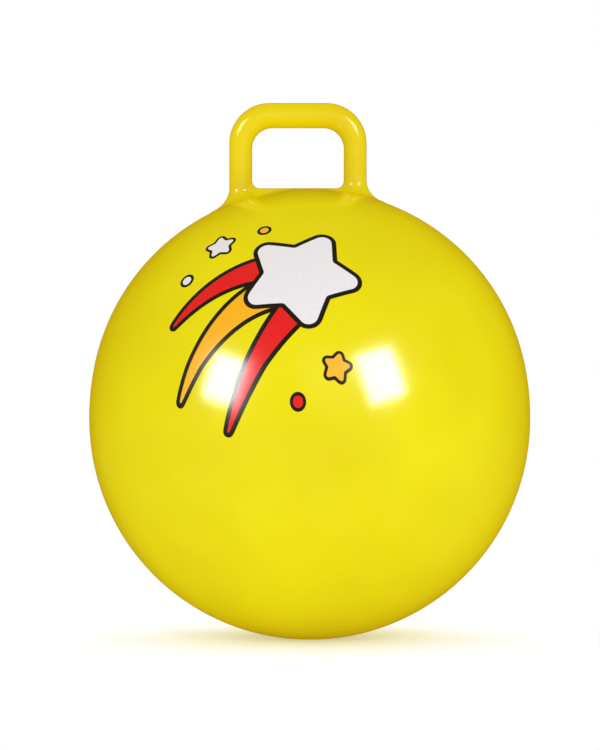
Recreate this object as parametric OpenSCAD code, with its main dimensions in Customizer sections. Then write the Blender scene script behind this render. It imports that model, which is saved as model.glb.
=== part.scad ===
// Hopper ball: an inflated vinyl ball with a loop handle on its crown.
// Millimetres, +Z up. The origin is on the floor under the ball's axis, the printed front faces -Y.

/* [Ball] */
// Width of the inflated ball at its belly
ball_d = 450; // [360:5:560]
// How far the crown stands above a true half ball, drawn up by the stiff handle root
crown_stretch = 7.5; // [2:0.5:16]
// How far the base hangs below a true half ball
base_stretch = 2; // [1:0.5:8]
// Distance from the axis to the far centre of the arc that shapes the sides
side_bow = 43; // [24:1:80]
// Radius of the flat patch where the ball's weight presses it on the floor
patch_r = 30; // [15:1:60]
// Wall of the vinyl skin
skin_t = 0.8; // [0.6:0.1:2]

/* [Handle] */
// Width over the outside of the two legs
handle_w = 140; // [120:1:180]
// Height of the top of the grip above the crown
handle_rise = 88.5; // [75:0.5:120]
// Diameter of the two legs
bar_d = 23; // [18:0.5:28]
// Thickness of the grip, a little more than the legs
grip_d = 25.5; // [20:0.5:30]
// Radius over the outside of the two upper corners
corner_r = 41; // [32:1:52]
// Radius of the opening's two upper corners
opening_r = 21; // [16:0.5:28]
// Sideways offset of the handle from the ball's axis
handle_shift = -12; // [-20:1:20]

/* [Handle foot] */
// Radius of the flare from a leg's outer side into the ball
flare_r = 16; // [10:1:22]
// Radius of the fillet from a leg's inner side into the web
web_fillet_r = 8; // [4:1:14]
// Width of the web that joins the two feet under the opening
web_w = 20; // [12:0.5:22]
// How far the web's level top stands above the crown
web_rise = 1.5; // [1:0.5:6]
// Thickness of the foot at its edge
lip_t = 0.8; // [0.6:0.1:2]
// Width of the thin lip beyond the flares
lip_w = 2; // [1:0.5:4]

/* [Valve seat] */
// Angle of the valve below the belly, at the back
valve_drop = 20; // [10:1:50]
// Diameter of the neck that fills the hole in the skin
neck_d = 30; // [28:0.5:40]
// Thickness of vinyl under the dish
neck_floor = 3; // [2:0.5:6]
// Diameter of the flange that is welded inside the skin
flange_d = 48; // [44:1:70]
// Thickness of the flange
flange_t = 1.8; // [1:0.1:3]
// Diameter of the boss round the bore
boss_d = 18; // [13:0.5:24]
// Depth of the seat below the ball's surface
seat_depth = 22; // [21:0.5:36]
// Diameter of the dish that takes the plug's head
dish_d = 23.5; // [22.5:0.5:26]
// Depth of the dish at its centre
dish_depth = 3.2; // [2.8:0.1:5]
// Diameter of the air bore
bore_d = 8; // [6:0.5:9.5]

/* [Valve plug] */
// Diameter of the plug's head
head_d = 20; // [14:0.5:22]
// Thickness of the plug's head
head_t = 2.4; // [1.6:0.1:2.8]
// Length of the stem below the head
stem_len = 17; // [14:0.5:22]
// Height of each sealing rib over the stem
rib_h = 0.7; // [0.3:0.1:1.2]
// Length of each sealing rib along the stem
rib_len = 2.6; // [1.5:0.1:3]
// Number of sealing ribs
rib_count = 4; // [1:1:4]

/* [Fits] */
// Thickness of the weld line between the skin and what is welded to it
seam_gap = 0.3; // [0.1:0.05:0.5]
// Radial clearance of the plug's ribs in the bore
plug_gap = 0.05; // [0.02:0.01:0.1]

/* [Hidden] */

$fn = 180;
over = 1;                       // how far a cutter runs past the face it cuts

vinyl_yellow = "#e8dc04";
grip_yellow = "#f0d606";
seat_yellow = "#dccb1a";
plug_white = "#f2f1ea";

// The ball's outline is an oval of tangent arcs: one for the base, one for each side, one for the crown.
// Each cap arc's centre lies on the axis, this far above or below the belly.
ball_r = ball_d / 2;
function cap_centre(stretch) =
    let (rest = side_bow - stretch) (side_bow * side_bow - rest * rest) / (2 * rest);

side_r = ball_r + side_bow;
crown_off = cap_centre(crown_stretch);
base_off = cap_centre(base_stretch);
crown_r = ball_r + crown_stretch - crown_off;
base_r = ball_r + base_stretch - base_off;
crown_turn = atan2(crown_off, side_bow);    // elevation at which the side arc meets the crown arc
base_turn = atan2(base_off, side_bow);

patch_sink = base_r - sqrt(base_r * base_r - patch_r * patch_r);
belly_z = ball_r + base_stretch - patch_sink;
crown_z = belly_z + ball_r + crown_stretch;
crown_cz = belly_z + crown_off;
base_cz = belly_z - base_off;

bar_r = bar_d / 2;
grip_r = grip_d / 2;
grip_top = crown_z + handle_rise;
leg_half = handle_w / 2 - bar_r;            // from the handle's middle to each leg's axis
web_half = min(web_w / 2, bar_r);
web_edge = web_half + lip_w;
web_turn = atan2(web_edge, leg_half);       // half the angle a leg sees of the web's middle

weld_r = base_r - skin_t - seam_gap;        // outside of the valve's flange
rib_d = bore_d - 2 * plug_gap;
stem_d = rib_d - 2 * rib_h;
rib_pitch = stem_len / (rib_count + 1);

// Height of the crown's surface over a point of the plan.
function crown_height(x, y) = crown_cz + sqrt(crown_r * crown_r - x * x - y * y);

// Half outline of the ball, moved outwards by grow: the side arc's disc, cut back to the two cap arcs.
module meridian(grow = 0) {
    reach = 2 * ball_d;
    difference() {
        intersection() {
            translate([-side_bow, belly_z]) circle(r = side_r + grow);
            translate([0, -grow]) square(reach);
        }
        difference() {
            translate([0, belly_z + (side_r + grow) * sin(crown_turn)]) square(reach);
            translate([0, crown_cz]) circle(r = crown_r + grow);
        }
        difference() {
            translate([0, belly_z - (side_r + grow) * sin(base_turn) - reach]) square(reach);
            translate([0, base_cz]) circle(r = base_r + grow);
        }
    }
}

module ball_solid(grow = 0) {
    rotate_extrude() meridian(grow);
}

// Puts its children on the back of the ball, with +Z out of the surface and the origin on it.
module at_valve() {
    translate([0, 0, base_cz]) rotate([-90 - valve_drop, 0, 0]) translate([0, 0, base_r]) children();
}

module ball_skin() {
    color(vinyl_yellow) difference() {
        ball_solid();
        ball_solid(-skin_t);
        at_valve() cylinder(d = neck_d + 2 * seam_gap, h = 2 * neck_d, center = true);
    }
}

// Fillet radius at the foot of a leg, for an angle round the leg that is 0 towards the web.
function fillet_at(turn) = web_fillet_r + (flare_r - web_fillet_r) * (1 - cos(turn)) / 2;

// Distance from a leg's axis to the edge of its foot: the middle of the web, the web's side or the lip.
function foot_reach(turn) =
    let (lip = bar_r + fillet_at(turn) + lip_w, a = abs(turn))
    a < 90 ? min(leg_half / cos(a), pow(pow(lip, 8) + pow(web_edge / max(sin(a), 0.01), 8), 1 / 8)) : lip;

// Height of the web over the foot's lip at a point of the plan.
function web_height(x, y) =
    max(0, crown_z + web_rise - crown_height(x, y) - lip_t) * pow(1 - pow(min(1, abs(y) / web_half), 3), 2);

// The handle is one skin of rings. From the middle of a foot's sole they run out to its edge, back over
// the lip and up the flare, then up the leg and round the corner to the middle of the grip.
module handle_loop() {
    half_turns = 20;                        // facets on each half of a ring
    web_turns = 2;                          // of these, the facets that look at the web's middle
    side_turns = 5;                         // and those that look at the web's side
    sole_rows = 6;
    lip_rows = 4;
    flare_rows = 9;
    corner_rows = 11;
    ring = 2 * half_turns;
    rows = sole_rows + lip_rows + flare_rows + corner_rows + 1;

    // Angle round a leg of each point of a ring, spaced evenly along the web's side and round the rest.
    function turn(i) =
        let (k = abs(i - half_turns), n = k - web_turns - side_turns,
            along = web_edge - (leg_half - web_edge) * n / side_turns)
        sign(i - half_turns) * (k < web_turns ? web_turn * k / web_turns :
            n < 0 ? atan2(web_edge, along) : 45 + 135 * n / (half_turns - web_turns - side_turns));

    // A point of the foot at distance r from the leg's axis, rise above the ball.
    function foot_point(side, turn, r, rise, web) =
        let (x = handle_shift + side * (leg_half - r * cos(turn)), y = r * sin(turn))
        [x, y, crown_height(x, y) + rise + (web && abs(turn) < 90 ? web_height(x, y) : 0)];

    function sole_point(side, turn, k) =
        foot_point(side, turn, foot_reach(turn) * (k + 1) / sole_rows, seam_gap, false);

    function lip_point(side, turn, k) =
        let (inner = bar_r + fillet_at(turn), part = (lip_rows - k) / lip_rows)
        foot_point(side, turn, inner + (foot_reach(turn) - inner) * part, lip_t, true);

    function flare_point(side, turn, k) =
        let (f = fillet_at(turn), a = 90 * (1 - k / (flare_rows - 1)))
        foot_point(side, turn, bar_r + f * (1 - cos(a)), lip_t + f * (1 - sin(a)), true);

    // The opening's corner is wider than the outer one calls for, so the bar is thickest part way round.
    function corner_point(side, turn, k) =
        let (a = 90 * k / (corner_rows - 1), arm = [cos(a), sin(a)],
            gap = [opening_r + bar_d - corner_r, opening_r + grip_d - corner_r],
            outer = corner_r * arm, inner = opening_r * arm - gap,
            half = (outer - inner) / 2, spot = (outer + inner) / 2 - cos(turn) * half)
        [handle_shift + side * (handle_w / 2 - corner_r + spot[0]), norm(half) * sin(turn),
            grip_top - corner_r + spot[1]];

    function point(side, j, i) = let (t = turn(i))
        j < sole_rows ? sole_point(side, t, j) :
        j < sole_rows + lip_rows ? lip_point(side, t, j - sole_rows) :
        j < sole_rows + lip_rows + flare_rows ? flare_point(side, t, j - sole_rows - lip_rows) :
        j < rows - 1 ? corner_point(side, t, j - sole_rows - lip_rows - flare_rows) :
        [handle_shift, grip_r * sin(t), grip_top - grip_r * (1 + cos(t))];

    // The two halves share the grip's middle ring and the web's middle line.
    function at_web(i) = abs(i - half_turns) <= web_turns;
    function shared(j, i) = j == rows - 1 || ((j == sole_rows - 1 || j == sole_rows) && at_web(i));
    function at(side, j, i) = let (w = i % ring) (side > 0 || shared(j, w) ? 0 : rows * ring) + j * ring + w;
    function wound(side, face) = side > 0 ? face : [face[2], face[1], face[0]];

    points = [for (side = [1, -1], j = [0:rows - 1], i = [0:ring - 1]) point(side, j, i)];
    middles = [for (side = [1, -1]) foot_point(side, 0, 0, seam_gap, false)];
    walls = [for (side = [1, -1], j = [0:rows - 2], i = [0:ring - 1], half = [0, 1])
        if (!(j == sole_rows - 1 && at_web(i) && at_web((i + 1) % ring)))
            wound(side, half == 0 ? [at(side, j, i), at(side, j, i + 1), at(side, j + 1, i + 1)]
                                  : [at(side, j, i), at(side, j + 1, i + 1), at(side, j + 1, i)])];
    soles = [for (side = [1, -1], i = [0:ring - 1])
        wound(side, [2 * rows * ring + (1 - side) / 2, at(side, 0, i + 1), at(side, 0, i)])];
    color(grip_yellow) polyhedron(points = concat(points, middles), faces = concat(walls, soles));
}

module valve_seat() {
    neck_len = dish_depth + neck_floor;
    color(seat_yellow) at_valve() difference() {
        union() {
            intersection() {
                translate([0, 0, -neck_len]) cylinder(d = neck_d, h = neck_len + over);
                translate([0, 0, -base_r]) sphere(r = base_r);
            }
            intersection() {
                translate([0, 0, -neck_d]) cylinder(d = flange_d, h = neck_d + over);
                translate([0, 0, -base_r]) difference() {
                    sphere(r = weld_r);
                    sphere(r = weld_r - flange_t);
                }
            }
            translate([0, 0, -seat_depth]) cylinder(d = boss_d, h = seat_depth - dish_depth - neck_floor / 2);
        }
        translate([0, 0, -dish_depth]) cylinder(d = dish_d, h = dish_depth + over);
        translate([0, 0, -seat_depth - over]) cylinder(d = bore_d, h = seat_depth + over);
    }
}

// Outline of the stem: a plain shank with ribs that slope towards the tip.
module stem_outline() {
    ribs = [for (k = [1:rib_count]) let (z = -k * rib_pitch + rib_len / 2) each [
        [stem_d / 2, z],
        [rib_d / 2, z],
        [stem_d / 2, z - rib_len]]];
    tip_r = stem_d / 2 - rib_h;
    polygon(concat([[0, over], [stem_d / 2, over]], ribs,
        [[stem_d / 2, -stem_len + rib_h], [tip_r, -stem_len], [0, -stem_len]]));
}

module valve_plug() {
    rim_r = head_t / 2;
    color(plug_white) at_valve() translate([0, 0, -dish_depth]) {
        rotate_extrude() {
            square([head_d / 2 - rim_r, head_t]);
            translate([head_d / 2 - rim_r, rim_r]) circle(r = rim_r);
        }
        rotate_extrude() stem_outline();
    }
}

ball_skin();
handle_loop();
valve_seat();
valve_plug();
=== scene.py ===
"""Hopper ball: a blown vinyl ball with a loop handle, a printed front and a stopper valve at the back.

Sizes are in millimetres, as in the part's source, and turn into metres where a mesh is made. +Z is up, the
origin is on the floor under the ball's axis and the printed front faces -Y.
"""
import logging
from collections.abc import Sequence
from dataclasses import dataclass, field
from enum import Enum
from functools import cached_property
from math import asin, atan2, cos, degrees, hypot, pi, radians, sin, sqrt, tan

import bmesh
import bpy
from bpy.types import Material, Mesh, NodeOutputs, NodeSocket, NodeTree, Object
from mathutils import Matrix, Vector
from mathutils.geometry import delaunay_2d_cdt


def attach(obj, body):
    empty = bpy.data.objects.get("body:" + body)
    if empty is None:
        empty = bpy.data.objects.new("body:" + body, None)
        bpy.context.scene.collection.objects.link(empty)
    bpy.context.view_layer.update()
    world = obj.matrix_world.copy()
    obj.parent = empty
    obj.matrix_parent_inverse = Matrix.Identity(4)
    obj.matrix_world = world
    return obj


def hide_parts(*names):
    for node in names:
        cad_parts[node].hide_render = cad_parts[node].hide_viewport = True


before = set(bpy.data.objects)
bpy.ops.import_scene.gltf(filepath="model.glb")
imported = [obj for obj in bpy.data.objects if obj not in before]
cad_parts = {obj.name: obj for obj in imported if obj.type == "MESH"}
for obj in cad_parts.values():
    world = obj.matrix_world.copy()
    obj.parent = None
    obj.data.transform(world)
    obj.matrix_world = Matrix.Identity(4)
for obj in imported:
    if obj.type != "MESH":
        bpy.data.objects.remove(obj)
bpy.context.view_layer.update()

LOG = logging.getLogger("hopper_ball")
MM = 0.001
Flat = tuple[float, float]
NOISE = {"From Min": 0.3, "From Max": 0.7}  # Range that nearly all values of a noise texture fall in.
MIX_A, MIX_B, MIX_RESULT = 6, 7, 2  # Sockets of a Mix node for colours, whose names are not unique.
SHARP = radians(32)  # Faces that meet at more than this keep a sharp edge.
NEARLY_STRAIGHT = 1.55  # Half a corner's angle, in radians, from which on it is not rounded.


class Body(Enum):
    """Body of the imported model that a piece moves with."""

    BALL = "ball"
    PLUG = "plug"


class Slot(Enum):
    """Material slot of the record for a piece's finish; the script uses it only to key the inks and name the
    print's pieces.
    """

    BALL = "vinyl_ball"
    HANDLE = "vinyl_handle"
    VALVE = "vinyl_valve"
    PLUG = "plug_plastic"
    BLACK_INK = "print_ink_black"
    WHITE_INK = "print_ink_white"
    ORANGE_INK = "print_ink_orange"
    RED_INK = "print_ink_red"


class LampUse(Enum):
    """What a studio lamp is for: light on the surfaces, or only its own picture in the gloss."""

    FILL = "fill"
    GLINT = "glint"


# ------------------------------ shading


def linear(colour: str) -> tuple[float, float, float, float]:
    """Turn an sRGB hex colour into linear light.

    Args:
        colour: Colour as "#rrggbb".

    Returns:
        Linear red, green, blue and an alpha of one.
    """
    parts = [int(colour[i:i + 2], 16) / 255 for i in (1, 3, 5)]
    red, green, blue = [c / 12.92 if c <= 0.04045 else ((c + 0.055) / 1.055) ** 2.4 for c in parts]
    return red, green, blue, 1.0


def add_node(tree: NodeTree, kind: str, settings: dict[str | int, object] | None = None,
             links: dict[str | int, NodeSocket] | None = None) -> NodeOutputs:
    """Add a shader node with its settings and links.

    Args:
        tree: Node tree that gets the node.
        kind: Node type without its "ShaderNode" prefix.
        settings: Values for the node's properties, or for its inputs by name or number.
        links: Output sockets that feed the node's inputs, by name or number.

    Returns:
        The new node's outputs.
    """
    node = tree.nodes.new("ShaderNode" + kind)
    for key, value in (settings or {}).items():
        if isinstance(key, int) or key in node.inputs:
            node.inputs[key].default_value = value
        else:
            setattr(node, key, value)
    for key, source in (links or {}).items():
        tree.links.new(source, node.inputs[key])
    return node.outputs


@dataclass(frozen=True)
class Grain:
    """One scale of unevenness in a surface.

    The size is the width of one bump and the depth its height, both in millimetres.
    """

    size: float
    depth: float

    @property
    def scale(self) -> float:
        """Noise scale that gives bumps of this size in an object that is in metres."""
        return 1 / (self.size * MM)


@dataclass(frozen=True)
class RootFade:
    """Where a thick moulding thins out on the ball, and the colour that it thins to."""

    colour: str
    centre_z: float
    radius: float
    height: float


def blank_material(name: str) -> tuple[Material, NodeTree]:
    """Start a material.

    Args:
        name: Name of the material.

    Returns:
        The material and its empty node tree.
    """
    material = bpy.data.materials.new(name)
    material.use_nodes = True
    material.node_tree.nodes.clear()
    return material, material.node_tree


@dataclass(frozen=True)
class PlasticFinish:
    """A plastic surface: slow drift of colour, uneven gloss, a fine peel and broad shallow waves."""

    name: str
    pale: str
    deep: str
    drift: Grain
    roughness: tuple[float, float]
    peel: Grain
    wave: Grain
    ior: float
    sheen: float = 0.0
    sheen_tint: str = "#ffffff"
    sheen_roughness: float = 0.45
    soak: float = 0.0
    soak_tint: tuple[float, float, float] = (1.0, 0.9, 0.7)
    soak_depth: float = 2.0
    root: RootFade | None = None

    def material(self) -> Material:
        """Make the node material.

        Returns:
            The material.
        """
        material, tree = blank_material(self.name)
        place = add_node(tree, "TexCoord")["Object"]
        # Scale and octaves of each noise. The gloss varies three times as finely as the colour.
        noises = ((self.drift.scale, 2.0), (self.drift.scale * 3, 4.0),
                  (self.peel.scale, 3.0), (self.wave.scale, 1.0))
        drift, gloss, peel, wave = [
            add_node(tree, "TexNoise", {"Scale": scale, "Detail": octaves}, {"Vector": place})["Fac"]
            for scale, octaves in noises]
        spread = add_node(tree, "MapRange", NOISE, {"Value": drift})["Result"]
        colour = add_node(tree, "Mix", {
            "data_type": "RGBA", MIX_A: linear(self.pale), MIX_B: linear(self.deep)}, {0: spread})[MIX_RESULT]
        if self.root:
            away = add_node(tree, "VectorMath", {"operation": "DISTANCE", 1: (0, 0, self.root.centre_z * MM)},
                            {0: place})["Value"]
            fade = add_node(tree, "MapRange", {
                "interpolation_type": "SMOOTHSTEP", "From Min": self.root.radius * MM,
                "From Max": (self.root.radius + self.root.height) * MM}, {"Value": away})["Result"]
            colour = add_node(tree, "Mix", {"data_type": "RGBA", MIX_A: linear(self.root.colour)},
                              {0: fade, MIX_B: colour})[MIX_RESULT]
        rough = add_node(tree, "MapRange", {**NOISE, "To Min": self.roughness[0], "To Max": self.roughness[1]},
                         {"Value": gloss})["Result"]
        wavy = add_node(tree, "Bump", {"Distance": self.wave.depth * MM}, {"Height": wave})["Normal"]
        bumpy = add_node(tree, "Bump", {"Distance": self.peel.depth * MM},
                         {"Height": peel, "Normal": wavy})["Normal"]
        shader = add_node(tree, "BsdfPrincipled", {
            "IOR": self.ior, "Sheen Weight": self.sheen, "Sheen Roughness": self.sheen_roughness,
            "Sheen Tint": linear(self.sheen_tint), "Subsurface Weight": self.soak,
            "Subsurface Radius": self.soak_tint, "Subsurface Scale": self.soak_depth * MM,
        }, {"Base Color": colour, "Roughness": rough, "Normal": bumpy})["BSDF"]
        add_node(tree, "OutputMaterial", {}, {"Surface": shader})
        return material


@dataclass(frozen=True)
class ScreenInk(PlasticFinish):
    """Vinyl ink pressed through a screen and dried: an even colour, nearly as glossy as what it lies on.

    A screen's threads leave marks 0.3 mm apart, too fine to show here, so they are drawn 2.2 mm apart.
    """

    drift: Grain = Grain(2.2, 0.0)
    roughness: tuple[float, float] = (0.2, 0.28)
    peel: Grain = Grain(2.2, 0.01)
    wave: Grain = Grain(40.0, 0.0)
    ior: float = 1.5


@dataclass(frozen=True)
class PaperFloor:
    """Matt background paper, brightened to a cool white: it takes the ball's shadow and runs out to white.

    The fibres of such paper are 0.03 mm thick, too fine to show, so they are drawn 0.8 mm thick.
    """

    name: str = "white_background_paper"
    colour: str = "#f0f1fa"
    fibre: Grain = Grain(0.8, 0.02)
    lift: float = 0.3
    near: float = 60.0
    far: float = 330.0

    def material(self) -> Material:
        """Make the node material.

        Returns:
            The material.
        """
        material, tree = blank_material(self.name)
        place = add_node(tree, "TexCoord")["Object"]
        away = add_node(tree, "VectorMath", {"operation": "LENGTH"}, {0: place})["Value"]
        plain = add_node(tree, "MapRange", {"interpolation_type": "SMOOTHSTEP", "From Min": self.near * MM,
                                            "From Max": self.far * MM}, {"Value": away})["Result"]
        fibre = add_node(tree, "TexNoise", {"Scale": self.fibre.scale}, {"Vector": place})["Fac"]
        bump = add_node(tree, "Bump", {"Distance": self.fibre.depth * MM}, {"Height": fibre})["Normal"]
        paper = add_node(tree, "BsdfDiffuse", {"Color": linear(self.colour)}, {"Normal": bump})["BSDF"]
        lit, white = [add_node(tree, "Emission", {"Strength": glow})["Emission"] for glow in (self.lift, 1.0)]
        near = add_node(tree, "AddShader", {}, {0: paper, 1: lit})["Shader"]
        shown = add_node(tree, "MixShader", {}, {0: plain, 1: near, 2: white})["Shader"]
        mixed = add_node(tree, "MixShader", {}, {0: seen_directly(tree), 1: near, 2: shown})["Shader"]
        add_node(tree, "OutputMaterial", {}, {"Surface": mixed})
        return material


@dataclass(frozen=True)
class GoldBoard:
    """Satin gold reflector board, dimly lit: a deep warm tone for the gloss to mirror in place of white."""

    name: str = "satin_gold_reflector_board"
    colour: str = "#84770f"

    def material(self) -> Material:
        """Make the node material.

        Returns:
            The material.
        """
        material, tree = blank_material(self.name)
        glow = add_node(tree, "Emission", {"Color": linear(self.colour), "Strength": 1.0})["Emission"]
        add_node(tree, "OutputMaterial", {}, {"Surface": glow})
        return material


def seen_directly(tree: NodeTree) -> NodeSocket:
    """Tell the rays that look at the background from those that gather light.

    Args:
        tree: Node tree that gets the nodes.

    Returns:
        Socket that is one for camera, glossy and transmission rays.
    """
    path, larger = add_node(tree, "LightPath"), {"operation": "MAXIMUM"}
    looks = add_node(tree, "Math", larger, {0: path["Is Camera Ray"], 1: path["Is Glossy Ray"]})["Value"]
    return add_node(tree, "Math", larger, {0: looks, 1: path["Is Transmission Ray"]})["Value"]


# ------------------------------ meshes


def smooth(share: float) -> float:
    """Ease a share in and out, and hold it between zero and one."""
    share = min(1.0, max(0.0, share))
    return share * share * (3 - 2 * share)


@dataclass
class Draft:
    """Points and faces of a piece while it is drawn, in millimetres."""

    points: list[Vector] = field(default_factory=list)
    normals: list[tuple[Vector, float] | None] = field(default_factory=list)
    faces: list[tuple[int, ...]] = field(default_factory=list)

    def add(self, point: Vector, normal: Vector | None = None, share: float = 1.0) -> int:
        """Add a point.

        Args:
            point: Its place.
            normal: Normal of the true surface there, where it is known.
            share: How much of that normal is used, against the normal of the faces.

        Returns:
            Number of the point.
        """
        self.points.append(point)
        self.normals.append((normal, share) if normal and share > 0 else None)
        return len(self.points) - 1

    def band(self, first: Sequence[int], second: Sequence[int]) -> None:
        """Join two rings by faces that look to the left of the way from first to second."""
        self.faces += [(first[i - 1], first[i], second[i], second[i - 1]) for i in (*range(1, len(first)), 0)]

    def fan(self, ring: Sequence[int], tip: int) -> None:
        """Close a ring of points on one point, with faces wound as the ring is."""
        self.faces += [(ring[i - 1], ring[i], tip) for i in range(len(ring))]

    def piece(self, name: str, finish: PlasticFinish, body: Body, slot: Slot,
              node: str | None = None) -> Object:
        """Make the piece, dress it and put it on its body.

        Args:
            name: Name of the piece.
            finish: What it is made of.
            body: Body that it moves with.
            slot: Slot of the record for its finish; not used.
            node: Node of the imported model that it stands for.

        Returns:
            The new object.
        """
        mesh = bpy.data.meshes.new(name)
        mesh.from_pydata([point * MM for point in self.points], [], self.faces)
        mesh.validate()
        mesh.shade_smooth()
        if any(self.normals):
            own = [drawn.vector.lerp(*known).normalized() if known else drawn.vector
                   for drawn, known in zip(mesh.vertex_normals, self.normals)]
            mesh.normals_split_custom_set_from_vertices(own)
        else:
            mesh.set_sharp_from_angle(angle=SHARP)
        mesh.materials.append(finish.material())
        piece = bpy.data.objects.new(name, mesh)
        bpy.context.scene.collection.objects.link(piece)
        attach(piece, body.value)
        if node:
            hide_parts(node)
        return piece


def round_corners(corners: Sequence[tuple[float, float, float]], steps: int = 6) -> list[Flat]:
    """Round each corner of a closed flat outline to its own radius.

    Args:
        corners: Points of the outline, each with its corner's radius.
        steps: Facets on each rounded corner.

    Returns:
        Points of the rounded outline.
    """
    outline: list[Flat] = []
    for i, (x, y, radius) in enumerate(corners):
        here = Vector((x, y))
        last = (Vector(corners[i - 1][:2]) - here).normalized()
        coming = (Vector(corners[(i + 1) % len(corners)][:2]) - here).normalized()
        half = last.angle(coming) / 2
        if radius <= 0 or half > NEARLY_STRAIGHT:
            outline.append((x, y))
            continue
        centre = here + (last + coming).normalized() * (radius / sin(half))
        run = radius / tan(half)
        start, end = here + last * run - centre, here + coming * run - centre
        for k in range(steps + 1):
            spot = centre + start.slerp(end, k / steps) * radius
            outline.append((spot.x, spot.y))
    return outline


# ------------------------------ ball


@dataclass
class OvalBall:
    """Form of the inflated ball: an oval of tangent arcs turned about the axis, flat where it stands."""

    width: float = 450.0
    crown_stretch: float = 7.5
    base_stretch: float = 2.0
    side_bow: float = 43.0
    patch_r: float = 30.0
    skin_t: float = 0.8

    def __post_init__(self) -> None:
        """Work out the radii of the arcs, and the heights of their centres, the belly and the crown."""
        half = self.width / 2
        crown, base = self.cap_offset(self.crown_stretch), self.cap_offset(self.base_stretch)
        self.side_r = half + self.side_bow
        self.crown_r = half + self.crown_stretch - crown
        self.base_r = half + self.base_stretch - base
        self.base_cz = sqrt(self.base_r ** 2 - self.patch_r ** 2)
        self.belly_z = self.base_cz + base
        self.crown_cz = self.belly_z + crown
        self.crown_z = self.crown_cz + self.crown_r
        # Elevation of the normal at the edge of the flat patch, in degrees.
        self.patch_turn = -degrees(asin(self.base_cz / self.base_r))

    def cap_offset(self, stretch: float) -> float:
        """Distance of a cap arc's centre from the belly, for a cap that much taller than a half ball."""
        rest = self.side_bow - stretch
        return (self.side_bow ** 2 - rest ** 2) / (2 * rest)

    def crown_height(self, x: float, y: float) -> float:
        """Height of the crown's surface over a point of the plan."""
        return self.crown_cz + sqrt(self.crown_r ** 2 - x * x - y * y)

    def point(self, normal: Vector, lift: float = 0.0) -> Vector:
        """Find the place on the ball that looks in a direction.

        Args:
            normal: Outward normal.
            lift: Height over the surface.

        Returns:
            The point.
        """
        level = hypot(normal.x, normal.y)
        slope = normal.z * self.side_bow - level * self.cap_offset(self.crown_stretch)
        drop = normal.z * self.side_bow + level * self.cap_offset(self.base_stretch)
        if slope >= 0:
            spot = Vector((0, 0, self.crown_cz)) + normal * (self.crown_r + lift)
        elif drop <= 0:
            spot = Vector((0, 0, self.base_cz)) + normal * (self.base_r + lift)
        else:
            back = self.side_bow / level
            spot = Vector((-normal.x * back, -normal.y * back, self.belly_z)) + normal * (self.side_r + lift)
        spot.z = max(spot.z, -lift)
        return spot


def facing(azimuth: float, elevation: float) -> Vector:
    """Unit vector so many degrees to the right of the front and above the level."""
    a, e = radians(azimuth), radians(elevation)
    return Vector((sin(a) * cos(e), -cos(a) * cos(e), sin(e)))


@dataclass(frozen=True)
class BallSpot:
    """A place on the ball with a flat sheet laid on it, which wraps round the ball from there."""

    ball: OvalBall
    azimuth: float
    elevation: float
    radius: float

    @cached_property
    def out(self) -> Vector:
        """Direction out of the ball."""
        return facing(self.azimuth, self.elevation)

    @cached_property
    def right(self) -> Vector:
        """Direction of the sheet's right hand."""
        return facing(self.azimuth + 90, 0)

    @cached_property
    def up(self) -> Vector:
        """Direction of the sheet's upper side."""
        return self.out.cross(self.right)

    def normal(self, u: float, v: float) -> Vector:
        """Normal of the ball under a point of the sheet, so far to the right and up."""
        away = max(hypot(u, v), 1e-9)
        along = (self.right * u + self.up * v) * (sin(away / self.radius) / away)
        return self.out * cos(away / self.radius) + along

    def flat(self, normal: Vector) -> Vector:
        """Point of the sheet over the place on the ball that has a normal."""
        side = Vector((normal.dot(self.right), normal.dot(self.up)))
        return side.normalized() * (self.radius * atan2(side.length, normal.dot(self.out)))


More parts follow.
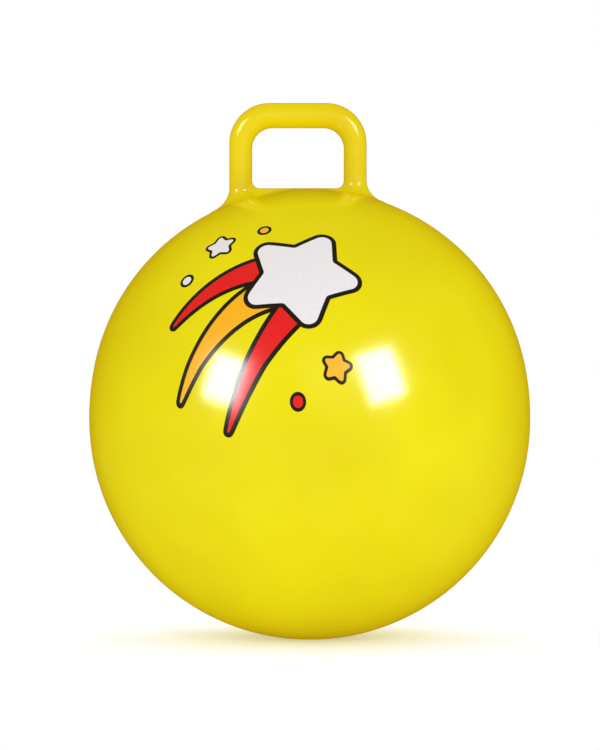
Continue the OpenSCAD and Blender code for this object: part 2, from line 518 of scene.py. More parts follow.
@dataclass
class BallSkin:
    """The blown skin, with the round hole for the valve and the fine line where the mould halves met."""

    ball: OvalBall
    valve: BallSpot
    finish: PlasticFinish
    hole_r: float = 15.3
    columns: int = 144
    top_row: float = 88.0
    row_step: float = 2.0
    block_columns: int = 5
    block_rows: int = 6
    block_rings: int = 4
    line_w: float = 1.6
    line_h: float = 0.2
    line_bed: float = -0.32
    line_rows: int = 76
    line_low: float = 0.5
    line_tops: tuple[float, float] = (70.0, 64.0)

    def elevations(self) -> list[float]:
        """Elevations of the rows of points, from under the crown to the edge of the flat patch."""
        count = int((self.top_row - self.ball.patch_turn - 1) / self.row_step)
        return [self.top_row - self.row_step * k for k in range(count + 1)] + [self.ball.patch_turn]

    def face(self, draft: Draft, lift: float) -> list[int]:
        """Add one face of the skin.

        Args:
            draft: Draft that gets it.
            lift: Height over the ball's surface, which is below zero for the inner face.

        Returns:
            Points on the rim of the valve's hole.
        """
        turned = 1 if lift >= 0 else -1
        start = len(draft.faces)
        rows = self.elevations()
        step = 360 / self.columns
        valve_row = min(range(len(rows)), key=lambda k: abs(rows[k] - self.valve.elevation))
        across, down = self.block_columns, self.block_rows

        def offset(row: int, column: int) -> tuple[int, int]:
            """Rows and columns from the valve."""
            return row - valve_row, (column + self.columns // 2) % self.columns - self.columns // 2

        def put(normal: Vector) -> int:
            """Add the point that looks in a direction."""
            return draft.add(self.ball.point(normal, lift), normal * turned)

        grid: dict[tuple[int, int], int] = {}
        for row, elevation in enumerate(rows):
            for column in range(self.columns):
                dr, dc = offset(row, column)
                if abs(dr) >= down or abs(dc) >= across:
                    grid[row, column] = put(facing(self.valve.azimuth + step * column, elevation))
        for row in range(len(rows) - 1):
            for column in range(self.columns):
                corners = [(row, column), (row + 1, column), (row + 1, (column + 1) % self.columns),
                           (row, (column + 1) % self.columns)]
                dr, dc = offset(row, column)
                if not (-down <= dr < down and -across <= dc < across):
                    draft.faces.append(tuple(grid[corner] for corner in corners))
        top = put(Vector((0, 0, 1)))
        draft.fan([grid[0, column] for column in range(self.columns)], top)
        low = put(Vector((0, 0, -1)))
        draft.fan([grid[len(rows) - 1, -column % self.columns] for column in range(self.columns)], low)

        loop = [(k, -across) for k in range(-down, down)] + [(down, k) for k in range(-across, across)]
        loop += [(-dr, -dc) for dr, dc in loop]
        edge = [grid[valve_row + dr, dc % self.columns] for dr, dc in loop]
        square = [self.valve.flat(draft.normals[i][0] * turned) for i in edge]
        first = atan2(square[0][1], square[0][0])
        for ring in range(1, self.block_rings + 1):
            share = ring / self.block_rings
            inner = []
            for i, (u, v) in enumerate(square):
                turn = first + 2 * pi * i / len(square)
                inner.append(put(self.valve.normal(u + (self.hole_r * cos(turn) - u) * share,
                                                   v + (self.hole_r * sin(turn) - v) * share)))
            draft.band(edge, inner)
            edge = inner
        if turned < 0:
            draft.faces[start:] = [face[::-1] for face in draft.faces[start:]]
        return edge

    def mould_line(self, draft: Draft, azimuth: float, top: float) -> None:
        """Add the ridge that the mould's joint left down one side.

        Args:
            draft: Draft that gets it.
            azimuth: Side of the ball.
            top: Elevation at which the ridge runs under the handle's foot.
        """
        half, bed, shoulder = self.line_w / 2, self.line_bed, self.line_h * 0.75
        section = [(-half, bed), (half, bed), (half, 0.0), (half / 2, shoulder), (0.0, self.line_h),
                   (-half / 2, shoulder), (-half, 0.0)]
        across = facing(azimuth + 90, 0)
        low = self.ball.patch_turn + self.line_low
        last: list[int] = []
        for k in range(self.line_rows + 1):
            normal = facing(azimuth, low + (top - low) * k / self.line_rows)
            ring = [draft.add(self.ball.point(normal, lift) + across * t) for t, lift in section]
            if last:
                draft.band(last, ring)
            else:
                draft.faces.append(tuple(reversed(ring)))
            last = ring
        draft.faces.append(tuple(last))

    def build(self) -> list[Object]:
        """Build the skin.

        Returns:
            The piece.
        """
        draft = Draft()
        outer = self.face(draft, 0.0)
        inner = self.face(draft, -self.ball.skin_t)
        draft.band(outer, inner)
        for azimuth, top in zip((90, -90), self.line_tops):
            self.mould_line(draft, azimuth, top)
        return [draft.piece("ball_skin_blown", self.finish, Body.BALL, Slot.BALL, "ball_skin")]


# ------------------------------ handle


@dataclass
class LoopHandle:
    """The thick loop on the crown: one skin of rings from its feet and web up the legs and round the grip."""

    ball: OvalBall
    finish: PlasticFinish
    width: float = 140.0
    rise: float = 88.5
    bar_d: float = 23.0
    grip_d: float = 25.5
    corner_r: float = 41.0
    opening_r: float = 21.0
    shift: float = -12.0
    flare_r: float = 16.0
    web_fillet_r: float = 8.0
    web_w: float = 20.0
    web_rise: float = 1.5
    lip_t: float = 0.8
    lip_w: float = 2.0
    tail_w: float = 6.0
    dip: float = 0.2
    bed: float = -0.5
    line_w: float = 1.6
    line_h: float = 0.22
    web_steps: int = 12
    back_steps: int = 34
    sole_rows: int = 6
    lip_rows: int = 14
    flare_rows: int = 16
    leg_rows: int = 4
    corner_rows: int = 22
    bar_rows: int = 3

    def __post_init__(self) -> None:
        """Work out the sizes that follow from these."""
        self.bar_r = self.bar_d / 2
        self.leg_half = self.width / 2 - self.bar_r
        self.grip_top = self.ball.crown_z + self.rise
        self.web_half = min(self.web_w / 2, self.bar_r)
        # Half the width of the web with its lip and the thin tail beyond it.
        self.edge = self.web_half + self.lip_w + self.tail_w

    @cached_property
    def turns(self) -> list[float]:
        """Angles round a leg of a ring's points, from 0 towards the web to 180 on the outside.

        They stand close at both ends, to draw the mould line, and evenly along the web's edge and the back.
        """
        span, count = self.edge - self.leg_half, self.web_steps
        side = [degrees(atan2(self.edge, self.leg_half + span * k / count)) for k in range(count)]
        back = [45 + (174 - 45) * k / self.back_steps for k in range(self.back_steps + 1)]
        return [0, 2, 4, 8, 12.5, *side, *back, 176, 178, 180]

    @cached_property
    def ring(self) -> list[float]:
        """Angles of the whole ring of points."""
        return [-turn for turn in reversed(self.turns[1:])] + self.turns[:-1]

    def at_web(self, turn: float) -> bool:
        """Whether the foot runs out to the handle's middle at that angle."""
        return abs(turn) <= degrees(atan2(self.edge, self.leg_half)) + 1e-6

    def fillet(self, turn: float) -> float:
        """Fillet radius at the foot of a leg, for an angle round the leg."""
        return self.web_fillet_r + (self.flare_r - self.web_fillet_r) * (1 - cos(radians(turn))) / 2

    def reach(self, turn: float) -> float:
        """Find how far a foot runs out from its leg.

        Args:
            turn: Angle round the leg, in degrees.

        Returns:
            Distance from the leg's axis to the foot's edge.
        """
        lip = self.bar_r + self.fillet(turn) + self.lip_w + self.tail_w
        a = radians(abs(turn))
        if abs(turn) >= 90:
            return lip
        side = self.edge / max(sin(a), 0.01)
        # A high mean of the two rounds the corner between the foot's lip and the web's edge.
        return min(self.leg_half / cos(a), (lip ** 8 + side ** 8) ** (1 / 8))

    def foot_point(self, side: int, turn: float, r: float, rise: float | None) -> Vector:
        """Find a point of a foot.

        Args:
            side: 1 for the right foot, -1 for the left one.
            turn: Angle round the leg, in degrees.
            r: Distance from the leg's axis.
            rise: Height over the ball and the web, or None for the height of the lip there.

        Returns:
            The point.
        """
        a = radians(turn)
        x, y = self.shift + side * (self.leg_half - r * cos(a)), r * sin(a)
        floor = self.ball.crown_height(x, y)
        if rise == self.bed:
            return Vector((x, y, floor + rise))
        inward = self.bar_r + self.fillet(turn) + self.lip_w + self.tail_w - r
        web = 0.0
        if abs(turn) < 90:
            inward = max(inward, self.edge - abs(y))
            level = max(0.0, self.ball.crown_z + self.web_rise - floor - self.lip_t)
            # The web is level along its middle, and falls away softly to both sides.
            web = level * (1 - min(1, abs(y) / self.web_half) ** 3) ** 2
        if rise is None:
            rise = -self.dip + (self.lip_t + self.dip) * smooth(inward / (self.lip_w + self.tail_w))
        return Vector((x, y, floor + rise + web))

    def ball_normal(self, point: Vector) -> Vector:
        """Normal of the ball under a point of the handle."""
        return (point - Vector((0, 0, self.ball.crown_cz))).normalized()

    def blend(self, point: Vector) -> float:
        """How far a foot has thinned out into the ball: zero on the foot, one at its edge."""
        height = (point - Vector((0, 0, self.ball.crown_cz))).length - self.ball.crown_r
        return smooth(1 - (height + self.dip) / (self.lip_t + self.dip))

    def corner_point(self, side: int, turn: float, angle: float) -> Vector:
        """Find a point of an upper corner.

        Args:
            side: 1 for the right corner, -1 for the left one.
            turn: Angle round the bar, in degrees.
            angle: Angle round the corner, from 0 at the leg to 90 at the grip.

        Returns:
            The point.
        """
        t, a = radians(turn), radians(angle)
        arm, step = Vector((cos(a), 0, sin(a))), self.opening_r - self.corner_r
        gap = Vector((step + self.bar_d, 0, step + self.grip_d))
        outer, inner = arm * self.corner_r, arm * self.opening_r - gap
        half = (outer - inner) / 2
        half *= 1 + self.ridge(turn) / half.length
        spot = (outer + inner) / 2 - half * cos(t)
        return Vector((self.shift + side * (self.width / 2 - self.corner_r + spot.x), half.length * sin(t),
                       self.grip_top - self.corner_r + spot.z))

    def ridge(self, turn: float) -> float:
        """Height of the mould line at an angle round the bar."""
        arc = radians(min(abs(turn), 180 - abs(turn))) * self.bar_r
        return self.line_h * max(0.0, 1 - (2 * arc / self.line_w) ** 2)

    def column(self, side: int, turn: float) -> list[Vector]:
        """Draw the line of points at one angle, from the middle of a foot's sole to the middle of the grip.

        Args:
            side: 1 for the right half, -1 for the left one.
            turn: Angle round the leg and the bar, in degrees.

        Returns:
            The points.
        """
        reach, fillet = self.reach(turn), self.fillet(turn)
        inner = self.bar_r + fillet
        line = [self.foot_point(side, turn, reach * (k + 1) / self.sole_rows, self.bed)
                for k in range(self.sole_rows)]
        line += [self.foot_point(side, turn, reach + (inner - reach) * k / self.lip_rows, None)
                 for k in range(self.lip_rows)]
        for k in range(self.flare_rows):
            share = k / (self.flare_rows - 1)
            a = radians(90 * (1 - share))
            line.append(self.foot_point(side, turn, self.bar_r + fillet * (1 - cos(a))
                                        + self.ridge(turn) * share, self.lip_t + fillet * (1 - sin(a))))
        low, high = line[-1], self.corner_point(side, turn, 0)
        line += [low.lerp(high, k / self.leg_rows) for k in range(1, self.leg_rows)]
        line += [self.corner_point(side, turn, 90 * k / (self.corner_rows - 1))
                 for k in range(self.corner_rows)]
        last = line[-1]
        middle = Vector((self.shift, last.y, last.z))
        line += [last.lerp(middle, k / self.bar_rows) for k in range(1, self.bar_rows + 1)]
        return line

    def build(self) -> list[Object]:
        """Build the handle.

        Returns:
            The piece.
        """
        draft = Draft()
        halves: dict[int, list[list[int]]] = {}
        seam = self.sole_rows - 1
        for side in (1, -1):
            lines = [self.column(side, turn) for turn in self.ring]
            rows: list[list[int]] = []
            for j in range(len(lines[0])):
                row = []
                for i, turn in enumerate(self.ring):
                    shared = j == len(lines[0]) - 1 or (j in (seam, seam + 1) and self.at_web(turn))
                    if shared and side < 0:
                        row.append(halves[1][j][i])
                    else:
                        share = 0.0 if j <= seam else self.blend(lines[i][j])
                        row.append(draft.add(lines[i][j], self.ball_normal(lines[i][j]), share))
                rows.append(row)
            halves[side] = rows
            start = len(draft.faces)
            for j, (first, second) in enumerate(zip(rows, rows[1:])):
                for i, turn in enumerate(self.ring):
                    k = (i + 1) % len(self.ring)
                    if not (j == seam and self.at_web(turn) and self.at_web(self.ring[k])):
                        draft.faces.append((first[i], second[i], second[k], first[k]))
            draft.fan(rows[0], draft.add(self.foot_point(side, 0, 0, self.bed)))
            if side < 0:
                draft.faces[start:] = [face[::-1] for face in draft.faces[start:]]
        return [draft.piece("handle_loop_moulded", self.finish, Body.BALL, Slot.HANDLE, "handle_loop")]


# ------------------------------ valve


@dataclass
class StopperValve:
    """The valve low on the back: a soft seat welded into the skin, and the plug pushed into its bore."""

    spot: BallSpot
    seat_finish: PlasticFinish
    plug_finish: PlasticFinish
    neck_d: float = 30.0
    neck_floor: float = 3.0
    flange_d: float = 48.0
    flange_t: float = 1.8
    boss_d: float = 18.0
    seat_depth: float = 22.0
    dish_d: float = 23.5
    dish_depth: float = 3.2
    bore_d: float = 8.0
    head_d: float = 20.0
    head_t: float = 2.4
    head_dome: float = 0.4
    stem_len: float = 17.0
    rib_h: float = 0.7
    rib_len: float = 2.6
    rib_count: int = 4
    seam_gap: float = 0.3
    groove: float = 0.4
    bead_over: float = 0.05
    plug_gap: float = 0.05
    plug_room: float = 0.02
    gate_r: float = 1.4
    gate_depth: float = 0.3
    segments: int = 72

    def under(self, r: float, drop: float) -> float:
        """Height, on the valve's axis, of a shell that deep under the ball, at a distance from the axis."""
        return sqrt((self.spot.ball.base_r - drop) ** 2 - r * r) - self.spot.ball.base_r

    def turn(self, draft: Draft, outline: Sequence[Flat], closed: bool) -> None:
        """Turn an outline about the valve's axis.

        Args:
            draft: Draft that gets the surface.
            outline: Distances from the axis and heights, with the solid on the left of the way along it.
            closed: Whether the outline closes on itself instead of ending on the axis.
        """
        foot = self.spot.ball.point(self.spot.out)
        rings = []
        for r, z in outline if closed else outline[1:-1]:
            angles = [2 * pi * k / self.segments for k in range(self.segments)]
            rings.append([draft.add(foot + self.spot.out * z + self.spot.right * (r * cos(a))
                                    + self.spot.up * (r * sin(a))) for a in angles])
        for first, second in zip(rings, rings[1:]):
            draft.band(first, second)
        if closed:
            draft.band(rings[-1], rings[0])
        else:
            tips = [draft.add(foot + self.spot.out * outline[k][1]) for k in (0, -1)]
            draft.fan(rings[0][::-1], tips[0])
            draft.fan(rings[-1], tips[1])

    def seat(self) -> Object:
        """Build the seat, with the weld's bead in the seam round its neck.

        Returns:
            The piece.
        """
        bore, dish, neck = self.bore_d / 2, self.dish_d / 2, self.neck_d / 2
        boss, flange, bead = self.boss_d / 2, self.flange_d / 2, neck + self.seam_gap + self.bead_over
        weld = self.spot.ball.skin_t + self.seam_gap
        low = -self.dish_depth - self.neck_floor
        # Distance from the axis, height and rounding of each corner, from the foot of the bore outwards.
        corners = [
            (bore, -self.seat_depth, 0.6), (boss, -self.seat_depth, 0.8), (boss, low, 1.0),
            (neck, low, 0.6), (neck, self.under(neck, weld + self.flange_t), 0.3),
            (flange, self.under(flange, weld + self.flange_t), 0.4), (flange, self.under(flange, weld), 0.4),
            (bead, self.under(bead, weld), 0.1), (bead, self.under(bead, self.groove), 0.05),
            (neck, self.under(neck, self.groove), 0.05), (neck, self.under(neck, 0), 0.3),
            (dish, self.under(dish, 0), 0.7), (dish, -self.dish_depth, 0.8), (bore, -self.dish_depth, 0.5)]
        draft = Draft()
        self.turn(draft, round_corners(corners, 5), True)
        return draft.piece("valve_seat_welded", self.seat_finish, Body.BALL, Slot.VALVE, "valve_seat")

    def plug(self) -> Object:
        """Build the plug.

        Returns:
            The piece.
        """
        rib = self.bore_d / 2 - self.plug_gap
        stem, head, rim = rib - self.rib_h, self.head_d / 2, self.head_t / 2
        base = -self.dish_depth + self.plug_room
        pitch = self.stem_len / (self.rib_count + 1)
        outline = [(0.0, base - self.stem_len), (stem - self.rib_h, base - self.stem_len),
                   (stem, base - self.stem_len + self.rib_h)]
        # Each rib slopes up to a rounded crest, and drops off behind it.
        for k in range(self.rib_count, 0, -1):
            z = base - k * pitch + self.rib_len / 2
            outline += [(stem, z - self.rib_len), (rib - 0.12, z - 0.28), (rib, z - 0.14), (rib - 0.06, z),
                        (stem, z)]
        outline += [(stem, base - 0.5), (stem + 0.15, base - 0.15), (stem + 0.5, base)]
        outline += [(head - rim + rim * sin(a), base + rim - rim * cos(a))
                    for a in (radians(15 * k) for k in range(12))]
        edge, crest = head - rim, base + self.head_t + self.head_dome
        outline += [(edge * (1 - k / 8), crest - self.head_dome * (1 - k / 8) ** 2) for k in range(7)]
        # The mark of the mould's gate is a shallow dimple in the middle of the head.
        outline += [(self.gate_r, crest), (self.gate_r - 0.3, crest - self.gate_depth + 0.05),
                    (0.0, crest - self.gate_depth)]
        draft = Draft()
        self.turn(draft, outline, False)
        return draft.piece("valve_plug_stopper", self.plug_finish, Body.PLUG, Slot.PLUG, "valve_plug")

    def build(self) -> list[Object]:
        """Build the seat and the plug."""
        return [self.seat(), self.plug()]


# ------------------------------ print


@dataclass(frozen=True)
class Star:
    """A rounded five-pointed star of the print."""

    centre: Flat
    radius: float
    tilt: float
    waist: float = 0.54
    tip_r: float = 0.14
    notch_r: float = 0.084
    least_r: float = 0.4

    def outline(self, margin: float = 0.0) -> list[Flat]:
        """Draw the star.

        Args:
            margin: How far the outline is moved outwards.

        Returns:
            Points of the outline.
        """
        arms = [Vector((cos(a), sin(a))) * self.radius * (1.0 if k % 2 == 0 else self.waist)
                for k, a in ((k, radians(90 + self.tilt + 36 * k)) for k in range(10))]
        corners = []
        for k, arm in enumerate(arms):
            before, after = (arm - arms[k - 1]).normalized(), (arms[(k + 1) % 10] - arm).normalized()
            push = Vector((before.y + after.y, -before.x - after.x)) / (1 + before.dot(after))
            spot = arm + push * margin
            tip, notch = self.tip_r * self.radius + margin, self.notch_r * self.radius - margin
            radius = tip if k % 2 == 0 else max(notch, self.least_r)
            corners.append((spot.x + self.centre[0], spot.y + self.centre[1], radius))
        return round_corners(corners, 10)


@dataclass(frozen=True)
class Tail:
    """A curved tail of the print that runs out to a point."""

    start: Flat
    bend: Flat
    tip: Flat
    half_w: float
    tip_r: float = 1.2
    taper: float = 0.8
    steps: int = 48
    cap_steps: int = 10

    def outline(self, margin: float = 0.0) -> list[Flat]:
        """Draw the tail.

        Args:
            margin: How far the outline is moved outwards.

        Returns:
            Points of the outline.
        """
        a, b, c = Vector(self.start), Vector(self.bend), Vector(self.tip)
        left, right = [], []
        for k in range(self.steps + 1):
            t = k / self.steps
            spot = a * (1 - t) ** 2 + b * (2 * t * (1 - t)) + c * t * t
            along = ((b - a) * (1 - t) + (c - b) * t).normalized()
            side = Vector((-along.y, along.x)) * (self.half_w * (1 - t) ** self.taper + self.tip_r + margin)
            left.append(spot + side)
            right.append(spot - side)
        end = (c - b).normalized()
        side = Vector((-end.y, end.x))
        cap = [c + (side * cos(q) + end * sin(q)) * (self.tip_r + margin)
               for q in (pi * k / self.cap_steps for k in range(1, self.cap_steps))]
        return [(p.x, p.y) for p in reversed(left + cap + right[::-1])]


@dataclass(frozen=True)
class Dot:
    """A round dot of the print."""

    centre: Flat
    radius: float
    steps: int = 40

    def outline(self, margin: float = 0.0) -> list[Flat]:
        """Points of the outline, moved outwards by a margin."""
        r = self.radius + margin
        return [(self.centre[0] + r * cos(a), self.centre[1] + r * sin(a))
                for a in (2 * pi * k / self.steps for k in range(self.steps))]


@dataclass
class FrontPrint:
    """A shooting star in four screen inks on the front of the ball, each ink a thin film on the last."""

    spot: BallSpot
    line_w: float = 4.6
    small_line_w: float = 3.0
    film: float = 0.04
    bed: float = -0.15
    mesh_step: float = 4.5
    rim_step: float = 2.5
    rim_clear: float = 2.0
    star: Star = Star((30, 38), 66, -20)
    tails: tuple[tuple[Slot, Tail], ...] = (
        (Slot.RED_INK, Tail((6, 46), (-50, 40), (-97, -10), 13)),
        (Slot.ORANGE_INK, Tail((14, 20), (-42, 2), (-85, -84), 17)),
        (Slot.RED_INK, Tail((34, 6), (2, -36), (-32, -112), 13)))
    small: tuple[tuple[Slot, Star | Dot], ...] = (
        (Slot.WHITE_INK, Star((-60, 82), 17, 12)),
        (Slot.ORANGE_INK, Star((74, -56), 15, -8)),
        (Slot.WHITE_INK, Dot((-90, 42), 5)),
        (Slot.ORANGE_INK, Dot((-16, 100), 4.5)),
        (Slot.RED_INK, Dot((38, -88), 5)))

    def film_of(self, draft: Draft, outlines: Sequence[Sequence[Flat]], layer: int) -> None:
        """Add a film of ink over some outlines, wrapped on the ball.

        Args:
            draft: Draft that gets it.
            outlines: Closed outlines on the sheet, which may lie over each other.
            layer: How many films high it lies.
        """
        top = (layer + 0.5) * self.film
        points: list[Vector] = []
        faces: list[list[int]] = []
        for outline in outlines:
            ring: list[Vector] = []
            for i, spot in enumerate(outline):
                here, after = Vector(spot), Vector(outline[(i + 1) % len(outline)])
                parts = max(1, round((after - here).length / self.rim_step))
                ring += [here.lerp(after, k / parts) for k in range(parts)]
            faces.append(list(range(len(points), len(points) + len(ring))))
            points += ring
        rim = list(points)
        low = [min(p[k] for p in rim) for k in (0, 1)]
        high = [max(p[k] for p in rim) for k in (0, 1)]
        step = self.mesh_step
        for i in range(int((high[0] - low[0]) / step) + 1):
            for j in range(int((high[1] - low[1]) / step) + 1):
                spot = Vector((low[0] + (i + 0.5 * (j % 2)) * step, low[1] + j * step))
                if all((spot - p).length > self.rim_clear for p in rim):
                    points.append(spot)
        spots, _, cells, _, _, owners = delaunay_2d_cdt(points, [], faces, 0, 1e-4, True)
        triangles = [cell for cell, owner in zip(cells, owners) if owner]
        used = sorted({i for triangle in triangles for i in triangle})
        ahead: dict[int, int] = {}
        under: dict[int, int] = {}
        for i in used:
            normal = self.spot.normal(spots[i].x, spots[i].y)
            ahead[i] = draft.add(self.spot.ball.point(normal, top), normal)
            under[i] = draft.add(self.spot.ball.point(normal, self.bed), normal)
        borders: set[tuple[int, int]] = set()
        for triangle in triangles:
            draft.faces.append(tuple(ahead[i] for i in triangle))
            draft.faces.append(tuple(under[i] for i in reversed(triangle)))
            borders |= {(triangle[k - 1], triangle[k]) for k in range(len(triangle))}
        for a, b in borders:
            if (b, a) not in borders:
                draft.faces.append((ahead[a], under[a], under[b], ahead[b]))

    def build(self) -> list[Object]:
        """Build the films of ink.

        Returns:
            One piece for each ink.
        """
        inks = {
            Slot.BLACK_INK: ScreenInk("vinyl_screen_ink_black", "#0b0909", "#1d1918"),
            Slot.WHITE_INK: ScreenInk("vinyl_screen_ink_white", "#efeaec", "#e9e4e2"),
            Slot.ORANGE_INK: ScreenInk("vinyl_screen_ink_orange", "#ffb80e", "#f6b012"),
            Slot.RED_INK: ScreenInk("vinyl_screen_ink_red", "#ee0e16", "#dd1218")}
        drafts = {slot: Draft() for slot in inks}
        base = [tail.outline(self.line_w) for _, tail in self.tails]
        base += [shape.outline(self.small_line_w) for _, shape in self.small]
        self.film_of(drafts[Slot.BLACK_INK], base, 1)
        for slot, shape in self.tails + self.small:
            self.film_of(drafts[slot], [shape.outline()], 2)
        self.film_of(drafts[Slot.BLACK_INK], [self.star.outline(self.line_w)], 3)
        self.film_of(drafts[Slot.WHITE_INK], [self.star.outline()], 4)
        return [draft.piece(slot.value.replace("print_ink", "front_print"), inks[slot], Body.BALL, slot)
                for slot, draft in drafts.items()]


# ------------------------------ studio


# Flags keep the lamps in the gloss each to its own pieces. Panels close to the ball give its two highlights,
# and high softboxes the glints on the handle's corners and feet, without streaks down its legs.
HANDLE_PIECES = ("handle_loop_moulded",)
BALL_PIECES = ("ball_skin_blown", *(f"front_print_{ink}" for ink in ("black", "white", "orange", "red")))


@dataclass(frozen=True)
class Lamp:
    """A soft lamp that looks at the ball, and lights the pieces that are named, or all.

    Its place is in degrees and metres, its size in metres, and its glow is the radiance of its face.
    """

    name: str
    use: LampUse
    azimuth: float
    elevation: float
    away: float
    size: Flat
    glow: float
    roll: float = 0.0
    lights: tuple[str, ...] = ()

    def build(self, target: Vector) -> None:
        """Hang the lamp.

        Args:
            target: Point that it looks at, in metres.
        """
        light = bpy.data.lights.new(self.name, "AREA")
        light.shape = "RECTANGLE"
        light.size, light.size_y = self.size
        light.energy = self.glow * pi * self.size[0] * self.size[1]
        lamp = bpy.data.objects.new(self.name, light)
        out = facing(self.azimuth, self.elevation)
        aim = out.to_track_quat("Z", "Y").to_matrix().to_4x4()
        roll = Matrix.Rotation(radians(self.roll), 4, "Z")
        lamp.matrix_world = Matrix.Translation(target + out * self.away) @ (aim @ roll)
        lamp.visible_camera = False
        lamp.visible_diffuse = self.use is LampUse.FILL
        lamp.visible_glossy = self.use is LampUse.GLINT
        bpy.context.scene.collection.objects.link(lamp)
        if self.lights:
            lamp.light_linking.receiver_collection = lit = bpy.data.collections.new(self.name + "_lit")
            for name in self.lights:
                lit.objects.link(bpy.data.objects[name])


@dataclass
class Studio:
    """White paper floor, soft even light, softboxes and panels in the gloss, and the level camera.

    The paper's half width, the boards' distance and the camera's sight are in metres.
    """

    camera_at: tuple[float, float, float] = (-9.9, -3200.0, 268.0)
    lens: float = 150.2
    sensor: float = 36.0
    sight: float = 100.0
    aim: tuple[float, float, float] = (0.0, 0.0, 245.0)
    floor_half: float = 12.0
    floor_z: float = -0.2
    board_r: float = 14.0
    fill: float = 0.78
    lamps: tuple[Lamp, ...] = (
        Lamp("key_softbox", LampUse.FILL, 10, 17, 4.0, (2.0, 1.9), 2.5),
        Lamp("back_softbox", LampUse.FILL, 182, 58, 4.0, (2.0, 2.0), 1.9),
        Lamp("left_softbox", LampUse.GLINT, -46, 25, 10.0, (4.0, 3.6), 8, 0, HANDLE_PIECES),
        Lamp("right_softbox", LampUse.GLINT, 42, 25, 10.0, (4.0, 3.6), 8, 0, HANDLE_PIECES),
        Lamp("left_panel", LampUse.GLINT, -33.27, 10.51, 0.43, (0.108, 0.119), 25, -15, BALL_PIECES),
        Lamp("right_panel", LampUse.GLINT, 27.85, 12.26, 0.43, (0.112, 0.132), 25, 15, BALL_PIECES))

    def camera(self) -> None:
        """Put the camera where the photograph was taken from."""
        camera = bpy.data.objects.new("camera", bpy.data.cameras.new("camera"))
        camera.location = Vector(self.camera_at) * MM
        camera.rotation_euler = (pi / 2, 0, 0)
        camera.data.sensor_width = self.sensor
        camera.data.lens = self.lens
        camera.data.clip_end = self.sight
        bpy.context.scene.collection.objects.link(camera)
        bpy.context.scene.camera = camera

    def stand(self, mesh: Mesh, finish: PaperFloor | GoldBoard) -> Object:
        """Put something of the set in its place.

        Args:
            mesh: Its mesh, which gives it its name.
            finish: What it is made of.

        Returns:
            The new object.
        """
        mesh.materials.append(finish.material())
        thing = bpy.data.objects.new(mesh.name, mesh)
        bpy.context.scene.collection.objects.link(thing)
        return thing

    def floor(self) -> None:
        """Lay the paper, which shows in no gloss because the boards do."""
        half, drop = self.floor_half, self.floor_z * MM
        mesh = bpy.data.meshes.new("paper_floor")
        mesh.from_pydata([(-half, -half, drop), (half, -half, drop), (half, half, drop), (-half, half, drop)],
                         [], [(0, 1, 2, 3)])
        self.stand(mesh, PaperFloor()).visible_glossy = False

    def boards(self) -> None:
        """Stand gold boards round the set, which keep the gloss dim and warm at the ball's edges."""
        mesh = bpy.data.meshes.new("gold_boards")
        form = bmesh.new()
        bmesh.ops.create_icosphere(form, subdivisions=3, radius=self.board_r)
        form.to_mesh(mesh)
        form.free()
        boards = self.stand(mesh, GoldBoard())
        boards.visible_camera = boards.visible_diffuse = False
        boards.visible_transmission = boards.visible_shadow = False

    def world(self) -> None:
        """Light the set evenly from all round, and show plain white behind it."""
        world = bpy.data.worlds.new("white_studio")
        bpy.context.scene.world = world
        world.use_nodes = True
        tree = world.node_tree
        tree.nodes.clear()
        level = add_node(tree, "MapRange", {"To Min": self.fill, "To Max": 1.0},
                         {"Value": seen_directly(tree)})["Result"]
        sky = add_node(tree, "Background", {"Color": (1, 1, 1, 1)}, {"Strength": level})["Background"]
        add_node(tree, "OutputWorld", {}, {"Surface": sky})

    def build(self) -> None:
        """Set up the camera, the floor and the light."""
        bpy.context.scene.view_settings.view_transform = "Standard"
        self.camera()
        self.floor()
        self.boards()
        self.world()
        for lamp in self.lamps:
            lamp.build(Vector(self.aim) * MM)


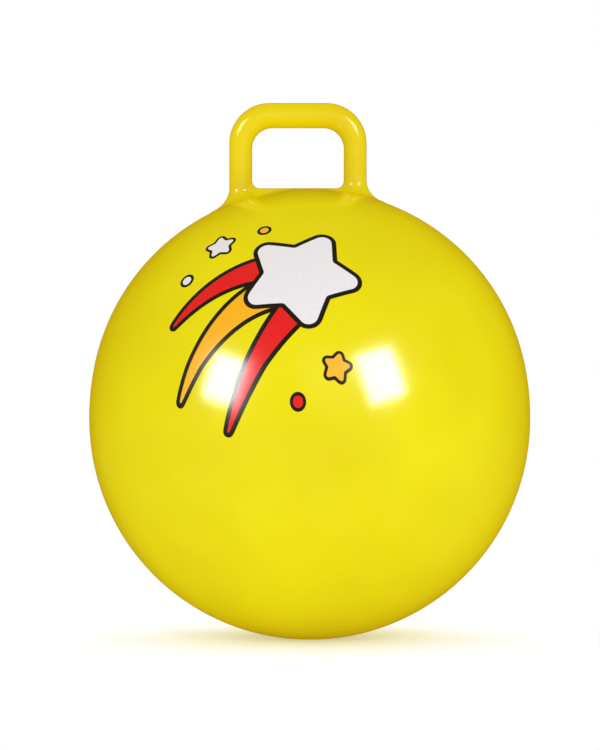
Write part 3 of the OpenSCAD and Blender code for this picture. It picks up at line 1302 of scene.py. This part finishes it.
def main() -> None:
    """Build the toy and its studio, and report each piece."""
    logging.basicConfig(level=logging.INFO, format="%(name)s: %(message)s")
    ball = OvalBall()
    valve = BallSpot(ball, azimuth=180, elevation=-20, radius=ball.base_r)
    front = BallSpot(ball, azimuth=-12.5, elevation=26.5, radius=ball.crown_r)

    # Plasticised PVC, blown thin: a soft gloss that blurs a lamp's edges, a faint orange peel, and broad
    # shallow waves that bend the reflections. The peel is about 1 mm wide, too fine to show, so it is drawn
    # two or three times as wide.
    ball_vinyl = PlasticFinish(
        "plasticised_pvc_blown_yellow", "#eee103", "#e6d602", drift=Grain(120, 0), roughness=(0.15, 0.19),
        peel=Grain(3, 0.012), wave=Grain(90, 0.5), ior=1.52, sheen=0.25, sheen_tint="#ff9c00")
    # The same PVC in a thick bar: the deeper vinyl looks warmer, and thins to the ball's colour at its feet.
    handle_vinyl = PlasticFinish(
        "plasticised_pvc_moulded_warm_yellow", "#f0d904", "#e9ce03", drift=Grain(60, 0), roughness=(0.17, 0.21),
        peel=Grain(2.4, 0.012), wave=Grain(30, 0.15), ior=1.52, sheen=0.25, sheen_tint="#ff9c00",
        root=RootFade("#ead903", centre_z=ball.crown_cz, radius=ball.crown_r + 0.5, height=15))
    # The seat is a softer grade, pressed in a blasted tool: paler and more matt.
    seat_vinyl = PlasticFinish(
        "plasticised_pvc_pressed_pale_yellow", "#e6d832", "#dccb1e", drift=Grain(14, 0), roughness=(0.34, 0.44),
        peel=Grain(0.9, 0.012), wave=Grain(9, 0.02), ior=1.52)
    # Low density polyethylene, injection moulded: a milky white that light soaks into, with a waxy gloss.
    plug_plastic = PlasticFinish(
        "ldpe_injection_moulded_white", "#f1f0ea", "#e8e7df", drift=Grain(10, 0), roughness=(0.3, 0.38),
        peel=Grain(0.8, 0.008), wave=Grain(6, 0.02), ior=1.51, soak=0.25)

    for assembly in (BallSkin(ball, valve, ball_vinyl), LoopHandle(ball, handle_vinyl),
                     StopperValve(valve, seat_vinyl, plug_plastic), FrontPrint(front)):
        for piece in assembly.build():
            LOG.info("%s: %d faces", piece.name, len(piece.data.polygons))
    Studio().build()


if __name__ == "__main__":
    main()
